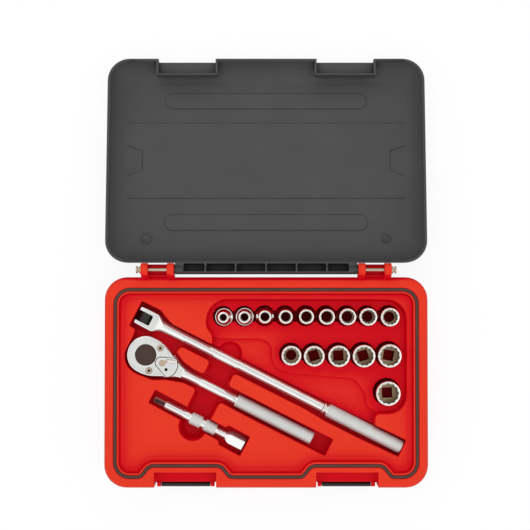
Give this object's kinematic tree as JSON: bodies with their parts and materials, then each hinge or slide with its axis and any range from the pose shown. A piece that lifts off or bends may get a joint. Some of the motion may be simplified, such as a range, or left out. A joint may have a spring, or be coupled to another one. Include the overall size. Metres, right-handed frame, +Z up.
{
  "type": "socket wrench set in case",
  "caption": "Hinged plastic tool case with a formed tray that holds sockets, a ratchet, a hinged handle and a drive adaptor.",
  "frame": {"origin": "centre of the underside of the case base", "axes": "+X along the case to the right, +Y towards the hinge, +Z up"},
  "size_m": [0.388, 0.523, 0.0583],
  "materials": {
    "red_plastic": "fine satin grain",
    "grey_plastic": "fine grain",
    "black_plastic": "satin",
    "seal_rubber": "matt",
    "chrome_steel": "bright chrome, with satin grips",
    "plain_steel": "turned",
    "dark_steel": "dark phosphate"
  },
  "bodies": {
    "case_base": {"base_shell": "red_plastic", "tool_tray": "red_plastic", "socket_deck": "red_plastic", "back_well": "red_plastic", "front_well": "red_plastic", "corner_well": "red_plastic", "ratchet_well": "red_plastic", "handle_well": "red_plastic", "adaptor_well": "red_plastic", "finger_well": "red_plastic", "rim_gasket": "seal_rubber", "hinge_pins": "plain_steel", "latch_pins": "plain_steel"},
    "lid": {"lid_shell": "grey_plastic"},
    "latch_left": {"latch_left": "black_plastic"},
    "latch_right": {"latch_right": "black_plastic"},
    "ratchet": {"ratchet_body": "chrome_steel", "ratchet_cover": "chrome_steel", "cover_screws": "plain_steel", "ratchet_pawl": "plain_steel"},
    "ratchet_drive": {"ratchet_gear": "plain_steel", "ratchet_disc": "dark_steel", "ratchet_ball": "plain_steel"},
    "ratchet_lever": {"reversing_lever": "chrome_steel", "pawl_plunger": "plain_steel"},
    "hinged_handle": {"hinged_handle": "chrome_steel", "handle_pin": "plain_steel"},
    "handle_drive": {"handle_drive": "dark_steel", "handle_ball": "plain_steel"},
    "adaptor": {"adaptor_bar": "chrome_steel", "adaptor_ball": "plain_steel"},
    "socket_08": {"socket_08": "chrome_steel"},
    "socket_09": {"socket_09": "chrome_steel"},
    "socket_10": {"socket_10": "chrome_steel"},
    "socket_11": {"socket_11": "chrome_steel"},
    "socket_12": {"socket_12": "chrome_steel"},
    "socket_13": {"socket_13": "chrome_steel"},
    "socket_14": {"socket_14": "chrome_steel"},
    "socket_15": {"socket_15": "chrome_steel"},
    "socket_16": {"socket_16": "chrome_steel"},
    "socket_17": {"socket_17": "chrome_steel"},
    "socket_18": {"socket_18": "chrome_steel"},
    "socket_19": {"socket_19": "chrome_steel"},
    "socket_20": {"socket_20": "chrome_steel"},
    "socket_21": {"socket_21": "chrome_steel"},
    "socket_22": {"socket_22": "chrome_steel"}
  },
  "joints": [
    {"name": "lid_hinge", "type": "hinge", "parent": "case_base", "child": "lid", "pos_m": [0, 0.1348, 0.05015], "axis": [-1, 0, 0], "range_deg": [-185.1, 0]},
    {"name": "latch_left_hinge", "type": "hinge", "parent": "case_base", "child": "latch_left", "pos_m": [-0.097, -0.1244, 0.0335], "axis": [1, 0, 0], "range_deg": [-180, 0]},
    {"name": "latch_right_hinge", "type": "hinge", "parent": "case_base", "child": "latch_right", "pos_m": [0.097, -0.1244, 0.0335], "axis": [1, 0, 0], "range_deg": [-180, 0]},
    {"name": "ratchet_lift", "type": "slide", "parent": "case_base", "child": "ratchet", "axis": [0, 0, 1], "range_m": [0, 0.08]},
    {"name": "handle_lift", "type": "slide", "parent": "case_base", "child": "hinged_handle", "axis": [0, 0, 1], "range_m": [0, 0.225]},
    {"name": "adaptor_lift", "type": "slide", "parent": "case_base", "child": "adaptor", "axis": [0, 0, 1], "range_m": [0, 0.06]},
    {"name": "socket_08_lift", "type": "slide", "parent": "case_base", "child": "socket_08", "axis": [0, 0, 1], "range_m": [0, 0.06]},
    {"name": "socket_09_lift", "type": "slide", "parent": "case_base", "child": "socket_09", "axis": [0, 0, 1], "range_m": [0, 0.06]},
    {"name": "socket_10_lift", "type": "slide", "parent": "case_base", "child": "socket_10", "axis": [0, 0, 1], "range_m": [0, 0.06]},
    {"name": "socket_11_lift", "type": "slide", "parent": "case_base", "child": "socket_11", "axis": [0, 0, 1], "range_m": [0, 0.06]},
    {"name": "socket_12_lift", "type": "slide", "parent": "case_base", "child": "socket_12", "axis": [0, 0, 1], "range_m": [0, 0.06]},
    {"name": "socket_13_lift", "type": "slide", "parent": "case_base", "child": "socket_13", "axis": [0, 0, 1], "range_m": [0, 0.06]},
    {"name": "socket_14_lift", "type": "slide", "parent": "case_base", "child": "socket_14", "axis": [0, 0, 1], "range_m": [0, 0.06]},
    {"name": "socket_15_lift", "type": "slide", "parent": "case_base", "child": "socket_15", "axis": [0, 0, 1], "range_m": [0, 0.06]},
    {"name": "socket_16_lift", "type": "slide", "parent": "case_base", "child": "socket_16", "axis": [0, 0, 1], "range_m": [0, 0.06]},
    {"name": "socket_17_lift", "type": "slide", "parent": "case_base", "child": "socket_17", "axis": [0, 0, 1], "range_m": [0, 0.06]},
    {"name": "socket_18_lift", "type": "slide", "parent": "case_base", "child": "socket_18", "axis": [0, 0, 1], "range_m": [0, 0.06]},
    {"name": "socket_19_lift", "type": "slide", "parent": "case_base", "child": "socket_19", "axis": [0, 0, 1], "range_m": [0, 0.06]},
    {"name": "socket_20_lift", "type": "slide", "parent": "case_base", "child": "socket_20", "axis": [0, 0, 1], "range_m": [0, 0.06]},
    {"name": "socket_21_lift", "type": "slide", "parent": "case_base", "child": "socket_21", "axis": [0, 0, 1], "range_m": [0, 0.06]},
    {"name": "socket_22_lift", "type": "slide", "parent": "case_base", "child": "socket_22", "axis": [0, 0, 1], "range_m": [0, 0.06]},
    {"name": "ratchet_spin", "type": "hinge", "parent": "ratchet", "child": "ratchet_drive", "pos_m": [-0.1451, 0.0325, 0.035], "axis": [0, 0, 1], "continuous": true},
    {"name": "lever_turn", "type": "hinge", "parent": "ratchet", "child": "ratchet_lever", "pos_m": [-0.12502, 0.02235, 0.044], "axis": [0, 0, 1], "range_deg": [-18, 18]},
    {"name": "handle_swivel", "type": "hinge", "parent": "hinged_handle", "child": "handle_drive", "pos_m": [-0.14647, 0.07689, 0.034], "axis": [0.4509, 0.8926, 0], "range_deg": [0, 90.1]}
  ],
  "couplings": [
    {"joint": "handle_swivel", "follows": "handle_lift", "rad_per_m": 6.9813}
  ]
}
